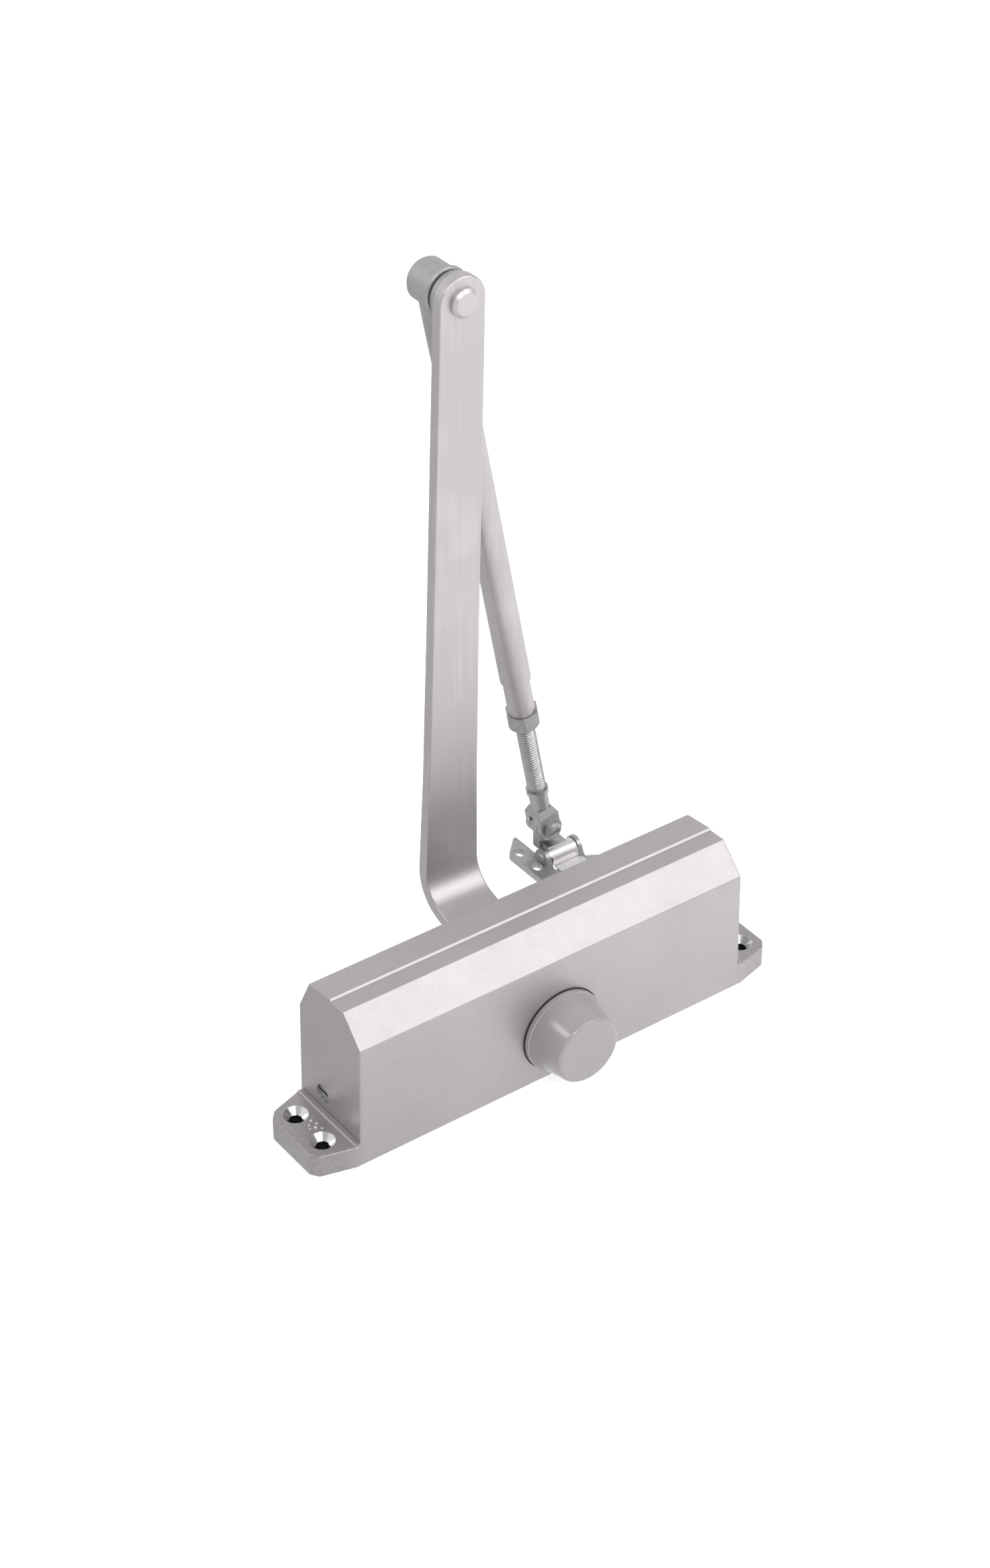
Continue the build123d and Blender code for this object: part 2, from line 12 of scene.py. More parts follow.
import bpy
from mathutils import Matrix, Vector


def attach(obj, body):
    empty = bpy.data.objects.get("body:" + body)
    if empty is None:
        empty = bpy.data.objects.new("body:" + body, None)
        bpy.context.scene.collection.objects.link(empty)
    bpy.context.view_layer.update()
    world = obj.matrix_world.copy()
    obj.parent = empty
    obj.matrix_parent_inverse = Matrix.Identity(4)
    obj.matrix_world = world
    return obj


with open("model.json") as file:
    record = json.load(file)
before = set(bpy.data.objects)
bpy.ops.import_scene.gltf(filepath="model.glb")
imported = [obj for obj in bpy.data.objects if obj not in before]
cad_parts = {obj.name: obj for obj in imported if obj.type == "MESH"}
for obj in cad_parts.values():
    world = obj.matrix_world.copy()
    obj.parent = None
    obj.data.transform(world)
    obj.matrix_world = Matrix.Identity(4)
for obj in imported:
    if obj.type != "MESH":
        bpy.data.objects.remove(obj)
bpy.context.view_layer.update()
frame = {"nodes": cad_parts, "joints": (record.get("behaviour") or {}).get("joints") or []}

# %% [markdown]
# ## Tools for every finish
# A Blender material is a tree of nodes. Building one by hand in the editor is slow to repeat,
# so one small function adds a node, sets its options and links its inputs in a single call.
# Colours are written as the sRGB hex values that a paint card gives, and one function turns
# them to the linear values that the renderer adds and multiplies.
# Pattern sizes are real sizes in millimetres: a noise of scale 1 repeats about once a metre
# here, so the scale is one metre divided by the size of the feature.

# %% Colour, size and node helpers
MM = 0.001


def linear(hex_colour):
    """An sRGB hex colour as linear red, green, blue and an alpha of one."""
    parts = [int(hex_colour[i:i + 2], 16) / 255 for i in (1, 3, 5)]
    return [p / 12.92 if p <= 0.04045 else ((p + 0.055) / 1.055) ** 2.4 for p in parts] + [1.0]


def per_metre(feature_mm):
    """Pattern scale for a feature of that size in millimetres."""
    return 1.0 / (feature_mm * MM)


def add_node(tree, kind, settings=None, inputs=None):
    """Adds one node, sets its options, and sets or links its inputs."""
    node = tree.nodes.new(kind)
    for name, value in (settings or {}).items():
        setattr(node, name, value)
    for socket, value in (inputs or {}).items():
        if isinstance(value, bpy.types.NodeSocket):
            tree.links.new(value, node.inputs[socket])
        else:
            node.inputs[socket].default_value = value
    return node


def start_material(name, **shader_inputs):
    """A new material, with its node tree, its Principled shader and its object coordinates."""
    material = bpy.data.materials.new(name)
    material.use_nodes = True
    tree = material.node_tree
    tree.nodes.clear()
    shader = add_node(tree, "ShaderNodeBsdfPrincipled", inputs=shader_inputs)
    add_node(tree, "ShaderNodeOutputMaterial", inputs={"Surface": shader.outputs["BSDF"]})
    place = add_node(tree, "ShaderNodeTexCoord").outputs["Object"]
    return material, tree, shader, place


print("a feature of 2 mm needs a noise scale of", per_metre(2.0))

# %% [markdown]
# ## Silver stoving paint on die-cast aluminium
# The body is cast, shot-blasted and sprayed with a paint that holds fine aluminium flakes,
# then baked. The flakes lie nearly flat in the paint, so it shines like metal but softly,
# and each face takes one even tone from the room. Four things make it look real: a faint
# change of tone over tens of millimetres, a change of gloss over a few, the slight waviness
# called orange peel, and the grain of the flakes. Flakes are about 0.03 mm, too fine to show,
# so they are drawn 0.5 mm wide. From 93 mm out from the middle, over the lugs, the tone turns
# greyer and blotchier: this is painted shade, for the shade that falls close to the floor.

# %% Silver paint of the body
PAINT_LIGHT, PAINT_DARK = linear("#BDB8BB"), linear("#B0ACAE")
# painted shade: over the lugs the paint is drawn greyer and blotchier, for the shade by the
# floor
LUG_SHADE_LIGHT, LUG_SHADE_DARK = linear("#B8B4B5"), linear("#989495")
LUG_SHADE_FROM, LUG_SHADE_FULL = 93 * MM, 104 * MM

body_paint, tree, shader, place = start_material(
    "silver_stoved_paint_on_cast_aluminium", Metallic=0.72)
drift = add_node(tree, "ShaderNodeTexNoise",
                 inputs={"Vector": place, "Scale": per_metre(35), "Detail": 2.0})
flakes = add_node(tree, "ShaderNodeTexVoronoi",
                  inputs={"Vector": place, "Scale": per_metre(0.5)})
tone = add_node(tree, "ShaderNodeMix", {"data_type": "RGBA"},
                {"Factor": drift.outputs["Fac"], "A": PAINT_LIGHT, "B": PAINT_DARK})
along = add_node(tree, "ShaderNodeSeparateXYZ", inputs={"Vector": place})
from_middle = add_node(tree, "ShaderNodeMath", {"operation": "ABSOLUTE"},
                       {0: along.outputs["X"]})
# past 93 mm from the middle the painted shade of the lugs takes over from the plain tone
on_lug = add_node(tree, "ShaderNodeMapRange", inputs={
    "Value": from_middle.outputs["Value"],
    "From Min": LUG_SHADE_FROM, "From Max": LUG_SHADE_FULL})
skin = add_node(tree, "ShaderNodeTexNoise",
                inputs={"Vector": place, "Scale": per_metre(1.6), "Detail": 3.0})
lug_painted_shade = add_node(tree, "ShaderNodeMix", {"data_type": "RGBA"},
                    {"Factor": skin.outputs["Fac"], "A": LUG_SHADE_LIGHT, "B": LUG_SHADE_DARK})
cast = add_node(tree, "ShaderNodeMix", {"data_type": "RGBA"}, {
    "Factor": on_lug.outputs["Result"],
    "A": tone.outputs["Result"], "B": lug_painted_shade.outputs["Result"]})
sparkle = add_node(tree, "ShaderNodeMapRange",
                   inputs={"Value": flakes.outputs["Color"], "To Min": 0.95, "To Max": 1.05})
flaked = add_node(tree, "ShaderNodeVectorMath", {"operation": "SCALE"},
                  {0: cast.outputs["Result"], "Scale": sparkle.outputs["Result"]})
tree.links.new(flaked.outputs["Vector"], shader.inputs["Base Color"])
gloss = add_node(tree, "ShaderNodeTexNoise",
                 inputs={"Vector": place, "Scale": per_metre(6), "Detail": 3.0})
satin = add_node(tree, "ShaderNodeMapRange",
                 inputs={"Value": gloss.outputs["Fac"], "To Min": 0.36, "To Max": 0.44})
tree.links.new(satin.outputs["Result"], shader.inputs["Roughness"])
peel = add_node(tree, "ShaderNodeTexNoise",
                inputs={"Vector": place, "Scale": per_metre(1.8), "Detail": 1.0})
peel_bump = add_node(tree, "ShaderNodeBump", inputs={
    "Height": peel.outputs["Fac"], "Distance": 0.02 * MM, "Strength": 0.6})
flake_bump = add_node(tree, "ShaderNodeBump", inputs={
    "Height": flakes.outputs["Distance"], "Distance": 0.01 * MM, "Strength": 0.5,
    "Normal": peel_bump.outputs["Normal"]})
tree.links.new(flake_bump.outputs["Normal"], shader.inputs["Normal"])
print("made", body_paint.name)

# %% [markdown]
# ## Silver paint on pressed steel
# The arm is a steel strip, blanked and bent in a press, then painted a brighter silver.
# Rolling leaves long faint lines in the steel that the thin paint doesn't quite fill. Noise
# that is squeezed across the strip and stretched along it draws them.

# %% Silver paint of the arms
arm_paint, tree, shader, place = start_material("silver_paint_on_pressed_steel", Metallic=0.8)
long_way = add_node(tree, "ShaderNodeMapping", inputs={
    "Vector": place, "Scale": (per_metre(0.7), per_metre(0.7), per_metre(60))})
lines = add_node(tree, "ShaderNodeTexNoise",
                 inputs={"Vector": long_way.outputs["Vector"], "Scale": 1.0, "Detail": 2.0})
drift = add_node(tree, "ShaderNodeTexNoise",
                 inputs={"Vector": place, "Scale": per_metre(30), "Detail": 2.0})
blend = add_node(tree, "ShaderNodeMath", {"operation": "MULTIPLY_ADD"},
                 {0: lines.outputs["Fac"], 1: 0.9, 2: drift.outputs["Fac"]})
tone = add_node(tree, "ShaderNodeMix", {"data_type": "RGBA"},
                {"Factor": blend.outputs["Value"],
                 "A": linear("#DDD9DB"), "B": linear("#C0BCBE")})
tree.links.new(tone.outputs["Result"], shader.inputs["Base Color"])
satin = add_node(tree, "ShaderNodeMapRange",
                 inputs={"Value": lines.outputs["Fac"], "To Min": 0.38, "To Max": 0.46})
tree.links.new(satin.outputs["Result"], shader.inputs["Roughness"])
line_bump = add_node(tree, "ShaderNodeBump", inputs={
    "Height": lines.outputs["Fac"], "Distance": 0.01 * MM, "Strength": 0.5})
tree.links.new(line_bump.outputs["Normal"], shader.inputs["Normal"])
print("made", arm_paint.name)

# %% [markdown]
# ## Greyer silver paint of the forearm's head
# The forearm's head gets its own silver paint. It is greyer and blotchier than on the smooth
# strip.

# %% Silver paint of the forearm's head
greyer_head_paint, tree, shader, place = start_material(
    "greyer_silver_paint", Metallic=0.8)
head_blotches = add_node(tree, "ShaderNodeTexNoise",
                      inputs={"Vector": place, "Scale": per_metre(2.5), "Detail": 4.0})
tone = add_node(tree, "ShaderNodeMix", {"data_type": "RGBA"},
                {"Factor": head_blotches.outputs["Fac"],
                 "A": linear("#BEBCBC"), "B": linear("#AAA8A8")})
tree.links.new(tone.outputs["Result"], shader.inputs["Base Color"])
satin = add_node(tree, "ShaderNodeMapRange",
                 inputs={"Value": head_blotches.outputs["Fac"], "To Min": 0.38, "To Max": 0.52})
tree.links.new(satin.outputs["Result"], shader.inputs["Roughness"])
skin_bump = add_node(tree, "ShaderNodeBump", inputs={
    "Height": head_blotches.outputs["Fac"], "Distance": 0.05 * MM, "Strength": 0.5})
tree.links.new(skin_bump.outputs["Normal"], shader.inputs["Normal"])
print("made", greyer_head_paint.name)

# %% [markdown]
# ## Bright zinc plate on steel
# The rod, fork, knuckle, shoe and nut are plated with zinc, 8 microns thick. It is metal all
# the way, so metallic is one and the default index stays. Barrel plating tumbles the parts
# against each other, which leaves dull patches a millimetre or two wide and tiny dents.

# %% Zinc plate
zinc_plate, tree, shader, place = start_material("bright_zinc_plate_on_steel", Metallic=1.0)
patches = add_node(tree, "ShaderNodeTexNoise", inputs={
    "Vector": place, "Scale": per_metre(2.2), "Detail": 4.0, "Roughness": 0.6})
tone = add_node(tree, "ShaderNodeMix", {"data_type": "RGBA"},
                {"Factor": patches.outputs["Fac"],
                 "A": linear("#C2C3C3"), "B": linear("#9E9F9F")})
tree.links.new(tone.outputs["Result"], shader.inputs["Base Color"])
dull = add_node(tree, "ShaderNodeMapRange", inputs={
    "Value": patches.outputs["Fac"], "From Min": 0.3, "From Max": 0.7,
    "To Min": 0.34, "To Max": 0.5})
tree.links.new(dull.outputs["Result"], shader.inputs["Roughness"])
dents = add_node(tree, "ShaderNodeBump", inputs={
    "Height": patches.outputs["Fac"], "Distance": 0.03 * MM, "Strength": 0.5})
tree.links.new(dents.outputs["Normal"], shader.inputs["Normal"])
print("made", zinc_plate.name)

# %% [markdown]
# ## Metals that were cut or ground
# The other metal parts differ in tone, in how smooth the tool left them, and in which way its
# marks run. A table with one row each, and one loop, says this more clearly than seven copies
# of the same nodes. Marks run round a turned part, and fine noise squeezed along the part's
# axis draws them.
#
# Machined steel is pale with broad soft highlights. Countersunk aluminium is smoother, so a
# small cone of it holds one sharp highlight. Ground steel is darker and nearly as smooth.
# Spring wire is blue-black from its oil temper, cast iron is a dull grey and sintered bronze
# a matt gold. Drilled holes look dark because they are deep. This floor glows and would light
# them from below, so the drilled bores get painted shade, a tone darker than the bare metal.

# %% Turned, ground, drawn and cast metals
CUT_METALS = {
    # finish: light tone, dark tone, roughness, width of a mark in mm, axis that marks run across
    "machined_bright_steel": ("#EAE8E8", "#DAD8D8", 0.38, 0.6, "X"),
    "countersunk_bright_aluminium": ("#F0EFEF", "#DCDADB", 0.2, 0.4, "Z"),
    # painted shade: the bores are drawn near black for the shadow deep in the holes
    "drilled_bore_painted_shade": ("#3A3838", "#242323", 0.6, 0.5, "Z"),
    "case_hardened_ground_steel": ("#9A9898", "#7D7B7C", 0.28, 0.5, "Y"),
    "oil_tempered_spring_wire": ("#5E6064", "#47494D", 0.35, 0.8, "X"),
    "turned_grey_cast_iron": ("#7C7B7B", "#5F5E5F", 0.42, 0.7, "X"),
    "sintered_bronze": ("#C09A5B", "#9C7A44", 0.45, 0.4, "Y"),
}
AXES = "XYZ"
cut_metals = {}
for name, (light, dark, roughness, mark_mm, along) in CUT_METALS.items():
    metal, tree, shader, place = start_material(name, Metallic=1.0)
    stretch = [per_metre(mark_mm) if axis == along else per_metre(25) for axis in AXES]
    squeezed = add_node(tree, "ShaderNodeMapping", inputs={"Vector": place, "Scale": stretch})
    marks = add_node(tree, "ShaderNodeTexNoise",
                     inputs={"Vector": squeezed.outputs["Vector"], "Scale": 1.0, "Detail": 3.0})
    tone = add_node(tree, "ShaderNodeMix", {"data_type": "RGBA"},
                    {"Factor": marks.outputs["Fac"], "A": linear(light), "B": linear(dark)})
    tree.links.new(tone.outputs["Result"], shader.inputs["Base Color"])
    spread = add_node(tree, "ShaderNodeMapRange", inputs={
        "Value": marks.outputs["Fac"], "To Min": roughness * 0.8, "To Max": roughness * 1.2})
    tree.links.new(spread.outputs["Result"], shader.inputs["Roughness"])
    grooves = add_node(tree, "ShaderNodeBump", inputs={
        "Height": marks.outputs["Fac"], "Distance": 0.02 * MM, "Strength": 0.4})
    tree.links.new(grooves.outputs["Normal"], shader.inputs["Normal"])
    cut_metals[name] = metal
print("made", ", ".join(cut_metals))

# %% [markdown]
# ## Moulded ABS of the cover cap
# The cap is injection moulded in a spark-eroded tool, which gives plastic a fine even grain.
# It is a warm grey, glossier than the paint, and not metallic, so its highlights are white
# and small. The grain is 0.15 mm in the real tool and is drawn 0.6 mm wide so that it shows.

# %% Cap plastic
cap_plastic, tree, shader, place = start_material("moulded_warm_grey_abs", IOR=1.54)
cloud = add_node(tree, "ShaderNodeTexNoise",
                 inputs={"Vector": place, "Scale": per_metre(18), "Detail": 2.0})
tone = add_node(tree, "ShaderNodeMix", {"data_type": "RGBA"},
                {"Factor": cloud.outputs["Fac"], "A": linear("#AAA6A6"), "B": linear("#A29E9E")})
tree.links.new(tone.outputs["Result"], shader.inputs["Base Color"])
grain = add_node(tree, "ShaderNodeTexNoise",
                 inputs={"Vector": place, "Scale": per_metre(0.6), "Detail": 1.0})
satin = add_node(tree, "ShaderNodeMapRange",
                 inputs={"Value": grain.outputs["Fac"], "To Min": 0.16, "To Max": 0.24})
tree.links.new(satin.outputs["Result"], shader.inputs["Roughness"])
grain_bump = add_node(tree, "ShaderNodeBump", inputs={
    "Height": grain.outputs["Fac"], "Distance": 0.015 * MM, "Strength": 0.5})
tree.links.new(grain_bump.outputs["Normal"], shader.inputs["Normal"])
print("made", cap_plastic.name)

# %% [markdown]
# ## Seals
# Nitrile rubber O-rings are near black and dull, with an index of about 1.52. The valve and
# piston seals are a filled plastic, cream and waxy. Both sit inside the body, but they are
# finished like the rest, because the library part can be opened up.

# %% Rubber and seal plastic
SEALS = {
    "nitrile_rubber": ("#1B1B1C", "#121213", 0.62, 1.52),
    "glass_filled_ptfe": ("#D8D3C6", "#C8C2B4", 0.5, 1.38),
}
seal_finishes = {}
for name, (light, dark, roughness, index) in SEALS.items():
    finish, tree, shader, place = start_material(name, Roughness=roughness, IOR=index)
    bloom = add_node(tree, "ShaderNodeTexNoise",
                     inputs={"Vector": place, "Scale": per_metre(1.5), "Detail": 3.0})
    tone = add_node(tree, "ShaderNodeMix", {"data_type": "RGBA"},
                    {"Factor": bloom.outputs["Fac"], "A": linear(light), "B": linear(dark)})
    tree.links.new(tone.outputs["Result"], shader.inputs["Base Color"])
    skin = add_node(tree, "ShaderNodeBump", inputs={
        "Height": bloom.outputs["Fac"], "Distance": 0.02 * MM, "Strength": 0.4})
    tree.links.new(skin.outputs["Normal"], shader.inputs["Normal"])
    seal_finishes[name] = finish
print("made", ", ".join(seal_finishes))

# %% [markdown]
# ## Hand the finishes out
# Every CAD part carries the name of its material slot. A table from slot to finish dresses
# all of them in one loop. Two parts break the rule and have a row of their own: the rivet is
# painted together with the arm, and the forearm's head has a greyer silver paint.

# %% Assign finishes to the CAD parts
FINISH_OF_SLOT = {
    "silver_paint": body_paint,
    "arm_paint": arm_paint,
    "zinc_steel": zinc_plate,
    "bright_steel": cut_metals["machined_bright_steel"],
    "case_hardened_steel": cut_metals["case_hardened_ground_steel"],
    "spring_steel": cut_metals["oil_tempered_spring_wire"],
    "cast_iron_piston": cut_metals["turned_grey_cast_iron"],
    "bronze": cut_metals["sintered_bronze"],
    "nitrile_rubber": seal_finishes["nitrile_rubber"],
    "seal_plastic": seal_finishes["glass_filled_ptfe"],
    "cap_plastic": cap_plastic,
}
PAINTED_APART = {"elbow_rivet": arm_paint, "forearm_head": greyer_head_paint}
dressed = 0
for name, part in frame["nodes"].items():
    for held in part.material_slots:
        slot_name = held.material.name.split(".")[0]
        held.material = PAINTED_APART.get(name, FINISH_OF_SLOT[slot_name])
        dressed += 1
print("dressed", dressed, "slots on", len(frame["nodes"]), "parts")

# %% [markdown]
# ## How a small part is made
# The parts below are surface details that the CAD model leaves out. Each is a plain list of
# points and faces, so its shape is exact and needs no modifier. One function makes the object,
# dresses it and ties it to the body that it moves with.

# %% Make a small part
def make_piece(name, points, faces, material, body):
    """A named object from points and faces, dressed and tied to the body it moves with."""
    mesh = bpy.data.meshes.new(name)
    mesh.from_pydata([tuple(p) for p in points], [], faces)
    mesh.validate()
    piece = bpy.data.objects.new(name, mesh)
    bpy.context.scene.collection.objects.link(piece)
    mesh.materials.append(material)
    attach(piece, body)
    print(name, "rides", body, "with", len(mesh.polygons), "faces")


joints = {joint["name"]: joint for joint in frame["joints"]}
print("joints:", ", ".join(joints))

# %% [markdown]
# ## Thread of the adjusting rod
# The rod screws into the forearm tube to fit the arm to the door, so its upper length is an
# M8 thread. CAD holds it as a plain pitch cylinder. A bump map would stay smooth at the
# rod's outline, where a thread shows most, so the ridge is real: a small closed section of
# four corners is carried along a helix, one turn for each 1.25 mm of pitch.

# %% Build the thread ridge
elbow = Vector(joints["elbow_pivot"]["pos_m"])
fork = Vector(joints["fork_pivot"]["pos_m"])
rod_way = (fork - elbow).normalized()
PITCH = 1.25 * MM
CREST_R, ROOT_R = 4.05 * MM, 3.62 * MM
THREAD_FROM, THREAD_TO = 176.0 * MM, 253.6 * MM
# half widths of the ridge at its root and crest, as shares of the pitch
ROOT_HALF, CREST_HALF = 0.48, 0.08
STEPS_A_TURN = 30


def helix_ridge(start, way, pitch, root_r, crest_r, length):
    """Points and faces of a closed ridge of thread round a straight axis."""
    side = way.cross(Vector((0, 1, 0))).normalized()
    other = way.cross(side)
    section = [(root_r, -ROOT_HALF), (crest_r, -CREST_HALF),
               (crest_r, CREST_HALF), (root_r, ROOT_HALF)]
    count = int(length / pitch * STEPS_A_TURN)
    points, faces = [], []
    for step in range(count + 1):
        turn = 2 * math.pi * step / STEPS_A_TURN
        out = side * math.cos(turn) + other * math.sin(turn)
        run_out = min(1.0, step / STEPS_A_TURN, (count - step) / STEPS_A_TURN)
        for radius, offset in section:
            reach = root_r + (radius - root_r) * run_out
            points.append(start + way * (pitch * (step / STEPS_A_TURN + offset)) + out * reach)
    corners = len(section)
    for step in range(count):
        a, b = step * corners, (step + 1) * corners
        for k in range(corners):
            m = (k + 1) % corners
            faces.append((a + k, a + m, b + m, b + k))
    first_end, last_end = range(corners), range(count * corners, (count + 1) * corners)
    return points, faces + [tuple(first_end)[::-1], tuple(last_end)]


points, faces = helix_ridge(elbow + rod_way * THREAD_FROM, rod_way, PITCH, ROOT_R, CREST_R,
                            THREAD_TO - THREAD_FROM)
make_piece("rod_thread", points, faces, zinc_plate, "rod")
print("thread turns:", round((THREAD_TO - THREAD_FROM) / PITCH))

# %% [markdown]
# ## Countersunk and drilled holes of the lugs
# The four fixing holes are countersunk after painting, so each cone is bare bright metal, and
# the drilled bore under it gets painted shade for the shadow in the hole. A second material on
# the CAD faces would need them split, so both are thin rings that lie on the CAD surface
# instead:
# a closed section, a few hundredths of a millimetre inside the hole, is turned about the hole's
# axis.

# %% Countersinks and bores, in mm
LUG_TOP = 10.0
FIX_X, FIX_Y = 105.5, 9.5
HOLES = [(x, y) for x in (-FIX_X, FIX_X) for y in (-FIX_Y, FIX_Y)]
HOLE_STEPS = 64


def lathe(section, centre, steps, axis="Z"):
    """Points and faces of a closed (radius, height) section, in mm, turned about Z or Y."""
    count = len(section)
    points, faces = [], []
    for step in range(steps):
        turn = 2 * math.pi * step / steps
        for radius, height in section:
            across = MM * (centre[0] + radius * math.cos(turn))
            other = MM * (centre[1] + radius * math.sin(turn))
            points.append((across, other, MM * height) if axis == "Z"
                          else (across, MM * height, other))
        for k in range(count):
            m, after = (k + 1) % count, (step + 1) % steps * count
            faces.append((step * count + k, after + k, after + m, step * count + m))
    return points, faces


def together(shapes):
    """One set of points and faces from several."""
    points, faces = [], []
    for some_points, some_faces in shapes:
        first = len(points)
        points += some_points
        faces += [tuple(first + k for k in face) for face in some_faces]
    return points, faces


# corners of each section as (radius, height)
cone_ring = [(2.72, 7.38), (5.34, LUG_TOP), (5.24, LUG_TOP), (2.64, 7.38)]
bore_ring = [(2.73, 0.1), (2.73, 7.34), (2.66, 7.34), (2.66, 0.1)]
points, faces = together([lathe(cone_ring, hole, HOLE_STEPS) for hole in HOLES])
make_piece("lug_countersinks", points, faces, cut_metals["countersunk_bright_aluminium"],
           "body")
# a near-black lining in each bore: painted shade for the shadow inside the hole
points, faces = together([lathe(bore_ring, hole, HOLE_STEPS) for hole in HOLES])
make_piece("lug_bores_painted_shade", points, faces, cut_metals["drilled_bore_painted_shade"],
           "body")

# %% [markdown]
# ## Cast beads at the lugs
# A low rounded bead of metal runs across the casting where each lug meets the end face. Its
# outline is a half circle drawn out in a straight line, and it wears the body's paint.

# %% Beads, in mm
BEAD_X, BEAD_R, BEAD_HALF, BEAD_STEPS = 96.7, 1.0, 20.2, 12


def prism(outline, axis, low, high):
    """Points and faces of a closed outline, in mm, drawn out along X or Y."""
    count = len(outline)
    points = [(MM * end, MM * a, MM * b) if axis == "X" else (MM * a, MM * end, MM * b)
              for end in (low, high) for a, b in outline]
    faces = [(k, (k + 1) % count, count + (k + 1) % count, count + k) for k in range(count)]
    return points, faces + [tuple(range(count))[::-1], tuple(range(count, 2 * count))]


bead_turns = [math.pi * k / BEAD_STEPS for k in range(BEAD_STEPS + 1)]
bead_outline = [(BEAD_R * math.cos(t), LUG_TOP + BEAD_R * math.sin(t)) for t in bead_turns]
points, faces = together([
    prism([(side * BEAD_X + a, b) for a, b in bead_outline], "Y", -BEAD_HALF, BEAD_HALF)
    for side in (-1, 1)])
make_piece("lug_joint_beads", points, faces, body_paint, "body")

# %% [markdown]
# ## Cast pips between the holes
# Six small pips stand up from each lug, and their tops are worn through the paint to bright
# metal. Each is a low dome, turned from an arc. They are uneven on the real casting, so their
# places and sizes are a short list and no formula.

# %% Pips, in mm
PIPS = [
    # distance from the middle of the body, place across the lug, radius
    (101.4, -3.4, 0.6), (103.2, -1.6, 0.9), (101.6, 0.2, 0.7),
    (104.6, 1.0, 0.6), (102.4, 2.8, 0.8), (105.4, -1.0, 0.5),
]
PIP_FLATNESS, PIP_CORE_R, PIP_SUNK = 0.6, 0.02, 0.05
PIP_STEPS, DOME_STEPS = 20, 6
dome_turns = [math.pi / 2 * k / DOME_STEPS for k in range(DOME_STEPS + 1)]
pip_shapes = []
for side in (-1, 1):
    for x, y, radius in PIPS:
        dome = [(PIP_CORE_R, LUG_TOP - PIP_SUNK)] + [
            (radius * math.cos(t) + PIP_CORE_R, LUG_TOP + radius * PIP_FLATNESS * math.sin(t))
            for t in dome_turns]
        pip_shapes.append(lathe(dome, (side * x, y), PIP_STEPS))
points, faces = together(pip_shapes)
make_piece("cast_pips", points, faces, cut_metals["countersunk_bright_aluminium"],
           "body")

# %% [markdown]
# ## Dark line at the foot of the cap
# The cap doesn't touch the body all round, and the gap reads as a thin dark line of shade. A
# narrow near-black ring at its foot, in the rubber finish, is painted shadow: it draws that
# line from every side.

# %% Painted shadow ring at the cap's foot, in mm
CAP_STEPS = 96
pinion_x, _, pinion_z = [c / MM for c in joints["pinion_turn"]["pos_m"]]
# corners of the section as (radius from the pinion's axis, Y)
gap_ring = [(18.43, -21.02), (18.85, -21.02), (18.75, -21.5), (18.43, -21.6)]
# the ring is painted shadow: a near-black band where the gap at the cap's foot lies in shade
points, faces = lathe(gap_ring, (pinion_x, pinion_z), CAP_STEPS, "Y")
make_piece("cap_foot_painted_shadow", points, faces, seal_finishes["nitrile_rubber"],
           "body")

# %% [markdown]
# ## Hinge lip of the shoe
# The front strip of the shoe's plate is pressed up into a lip round the hinge, rubbed bright.
# Its bend is one arc round the barrel's axis, so the tilting knuckle never reaches it.

# %% Build the hinge lip, in mm
hinge_x, hinge_y, hinge_z = [c / MM for c in joints["shoe_tilt"]["pos_m"]]
LIP_IN, LIP_OUT, LIP_HALF = 4.25, 5.0, 6.7
BEND_FROM_DEG, BEND_STEP_DEG, BEND_POINTS = 152, 3, 15
# the lip's foot lies on the plate, as (Y, Z)
LIP_FOOT = [(56.4, 30.3), (52.2, 30.3), (52.2, 29.6), (57.2, 29.6)]
bend = [math.radians(BEND_FROM_DEG + BEND_STEP_DEG * k) for k in range(BEND_POINTS)]
outer, inner = [[(hinge_y + radius * math.cos(t), hinge_z + radius * math.sin(t)) for t in bend]
                for radius in (LIP_OUT, LIP_IN)]
points, faces = prism(outer + LIP_FOOT + inner[::-1], "X",
                      hinge_x - LIP_HALF, hinge_x + LIP_HALF)
make_piece("shoe_hinge_lip", points, faces, cut_metals["machined_bright_steel"],
           "shoe")

# %% [markdown]
# ## Floor
# The closer lies on a plain white floor that glows a little. A floor that is equally white all
# round would leave no darker side on shiny paint, and the body would look flat. So the floor
# has two looks, and a Light Path node picks between them. The camera sees the white floor.
# Reflections and bounced light meet a plain glow in its place, dimmer behind and to the left.
# Only this floor of the stage uses the node, and the finishes of the closer never do.

# %% Floor, in metres
FLOOR_HALF, FLOOR_Z = 14.0, -0.0004
FLOOR_GLOW = 0.62
# the reflected glow grows along this heading, from dim to bright between two distances
HEADING_X, HEADING_Y = 0.6, -0.8
DIM_AT, BRIGHT_AT = -0.13, 0.12
DIM_GLOW, BRIGHT_GLOW = 0.66, 1.25
floor_mesh = bpy.data.meshes.new("studio_floor")
floor_mesh.from_pydata([(-FLOOR_HALF, -FLOOR_HALF, FLOOR_Z), (FLOOR_HALF, -FLOOR_HALF, FLOOR_Z),
                        (FLOOR_HALF, FLOOR_HALF, FLOOR_Z), (-FLOOR_HALF, FLOOR_HALF, FLOOR_Z)],
                       [], [(0, 1, 2, 3)])
floor = bpy.data.objects.new("studio_floor", floor_mesh)
bpy.context.scene.collection.objects.link(floor)
floor_paint, tree, shader, place = start_material("matt_white_studio_floor", Roughness=0.9)
shader.inputs["Base Color"].default_value = linear("#F0F0F0")
shader.inputs["Emission Color"].default_value = linear("#FFFFFF")
shader.inputs["Emission Strength"].default_value = FLOOR_GLOW
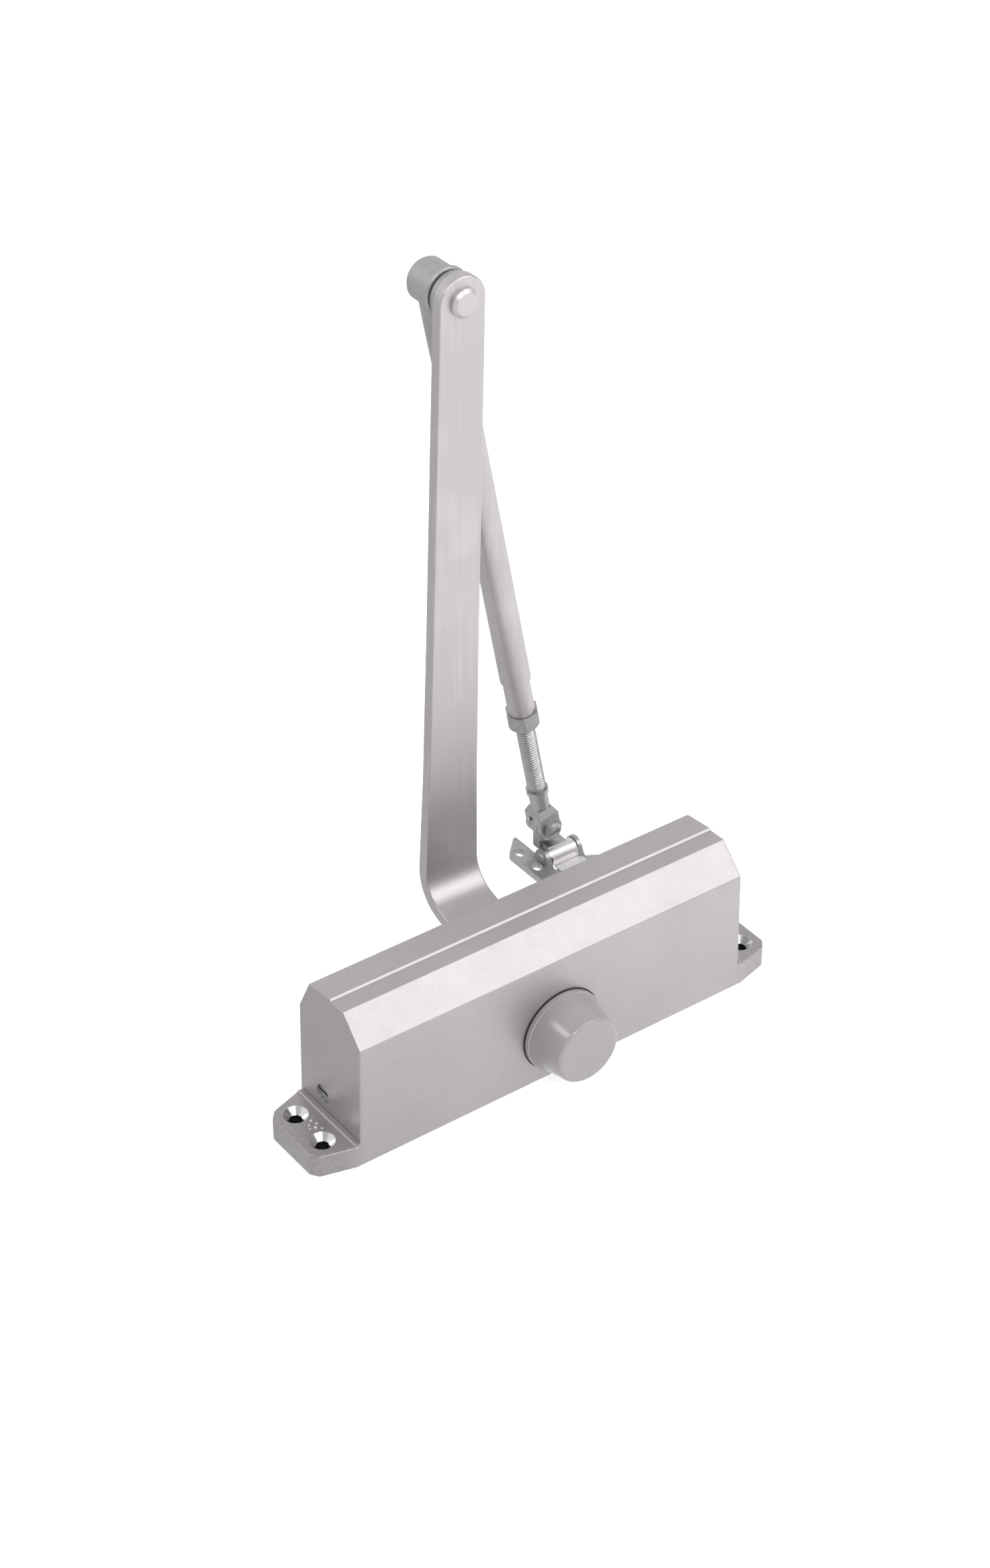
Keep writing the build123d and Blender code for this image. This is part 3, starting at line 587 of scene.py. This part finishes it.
spot = add_node(tree, "ShaderNodeSeparateXYZ", inputs={"Vector": place})
sideways = add_node(tree, "ShaderNodeMath", {"operation": "MULTIPLY"},
                    {0: spot.outputs["X"], 1: HEADING_X})
forward = add_node(tree, "ShaderNodeMath", {"operation": "MULTIPLY_ADD"},
                   {0: spot.outputs["Y"], 1: HEADING_Y, 2: sideways.outputs["Value"]})
lit = add_node(tree, "ShaderNodeMapRange", inputs={
    "Value": forward.outputs["Value"], "From Min": DIM_AT, "From Max": BRIGHT_AT,
    "To Min": DIM_GLOW, "To Max": BRIGHT_GLOW})
card = add_node(tree, "ShaderNodeEmission", inputs={
    "Color": linear("#FFFFFF"), "Strength": lit.outputs["Result"]})
seen = add_node(tree, "ShaderNodeLightPath").outputs["Is Camera Ray"]
either = add_node(tree, "ShaderNodeMixShader", inputs={
    0: seen, 1: card.outputs["Emission"], 2: shader.outputs["BSDF"]})
tree.links.new(either.outputs["Shader"], tree.nodes["Material Output"].inputs["Surface"])
floor.data.materials.append(floor_paint)
print("floor at", FLOOR_Z * 1000, "mm")

# %% [markdown]
# ## Room and soft boxes
# Silver paint shows what is round it, so the lights are placed by the reflection that each
# face should hold. The room glows more behind the closer than in front, because the upper
# faces mirror what is behind them. A large box in front and above makes the sloping band along
# the body, a small one beside it makes a sharper highlight on the cap, and one on the left
# lights the left end and its lug.

# %% Room
# the room's glow by the heading's Y, from the front to the back
FRONT_HEADING, BACK_HEADING = -0.2, 0.5
FRONT_GLOW, BACK_GLOW = 0.5, 0.85
scene = bpy.context.scene
room = bpy.data.worlds.new("studio_room")
room.use_nodes = True
scene.world = room
tree = room.node_tree
tree.nodes.clear()
way = add_node(tree, "ShaderNodeTexCoord").outputs["Generated"]
split = add_node(tree, "ShaderNodeSeparateXYZ", inputs={"Vector": way})
behind = add_node(tree, "ShaderNodeMapRange", inputs={
    "Value": split.outputs["Y"], "From Min": FRONT_HEADING, "From Max": BACK_HEADING,
    "To Min": FRONT_GLOW, "To Max": BACK_GLOW})
glow = add_node(tree, "ShaderNodeBackground", inputs={
    "Color": linear("#FFFFFF"), "Strength": behind.outputs["Result"]})
add_node(tree, "ShaderNodeOutputWorld", inputs={"Surface": glow.outputs["Background"]})
print("room glow", FRONT_GLOW, "in front and", BACK_GLOW, "behind")

# %% Soft boxes
AIM = Vector((-0.01, 0.0, 0.10))
SOFT_BOXES = {
    # name: direction from the object, distance m, width m, power W
    "front_box": ((0.479, -0.611, 0.63), 1.5, 1.1, 9.0),
    "left_box": ((-0.62, 0.27, 0.68), 1.5, 0.35, 2.4),
    "key_box": ((-0.23, -0.68, 0.64), 1.5, 0.25, 4.6),
}
for name, (way, distance, width, power) in SOFT_BOXES.items():
    lamp = bpy.data.lights.new(name, "AREA")
    lamp.shape = "SQUARE"
    lamp.size = width
    lamp.energy = power
    box = bpy.data.objects.new(name, lamp)
    scene.collection.objects.link(box)
    toward = Vector(way).normalized()
    box.location = AIM + toward * distance
    box.rotation_mode = "QUATERNION"
    box.rotation_quaternion = toward.to_track_quat("Z", "Y")
    print(name, "at", [round(c, 2) for c in box.location])

# %% [markdown]
# ## Camera
# The closer is seen from its cap side, a little to the left and well above, through a long
# lens that keeps the body's edges nearly parallel. In a tall picture Blender fits its 36 mm
# sensor to the height, so the lens is the one that suits the height.

# %% Camera
CAMERA_AT = Vector((-0.635589, -0.849170, 0.893483))
LOOKS_BACK = Vector((-0.479164, -0.655654, 0.583541))
LENS_MM, SENSOR_MM = 77.56742, 36.0
lens = bpy.data.cameras.new("camera")
lens.sensor_width = SENSOR_MM
lens.lens = LENS_MM
lens.dof.use_dof = False
lens.clip_start, lens.clip_end = 0.05, 60.0
camera = bpy.data.objects.new("camera", lens)
scene.collection.objects.link(camera)
camera.location = CAMERA_AT
camera.rotation_mode = "QUATERNION"
camera.rotation_quaternion = LOOKS_BACK.to_track_quat("Z", "Y")
scene.camera = camera
scene.view_settings.view_transform = "Standard"
print("lens", round(lens.lens, 2), "mm")
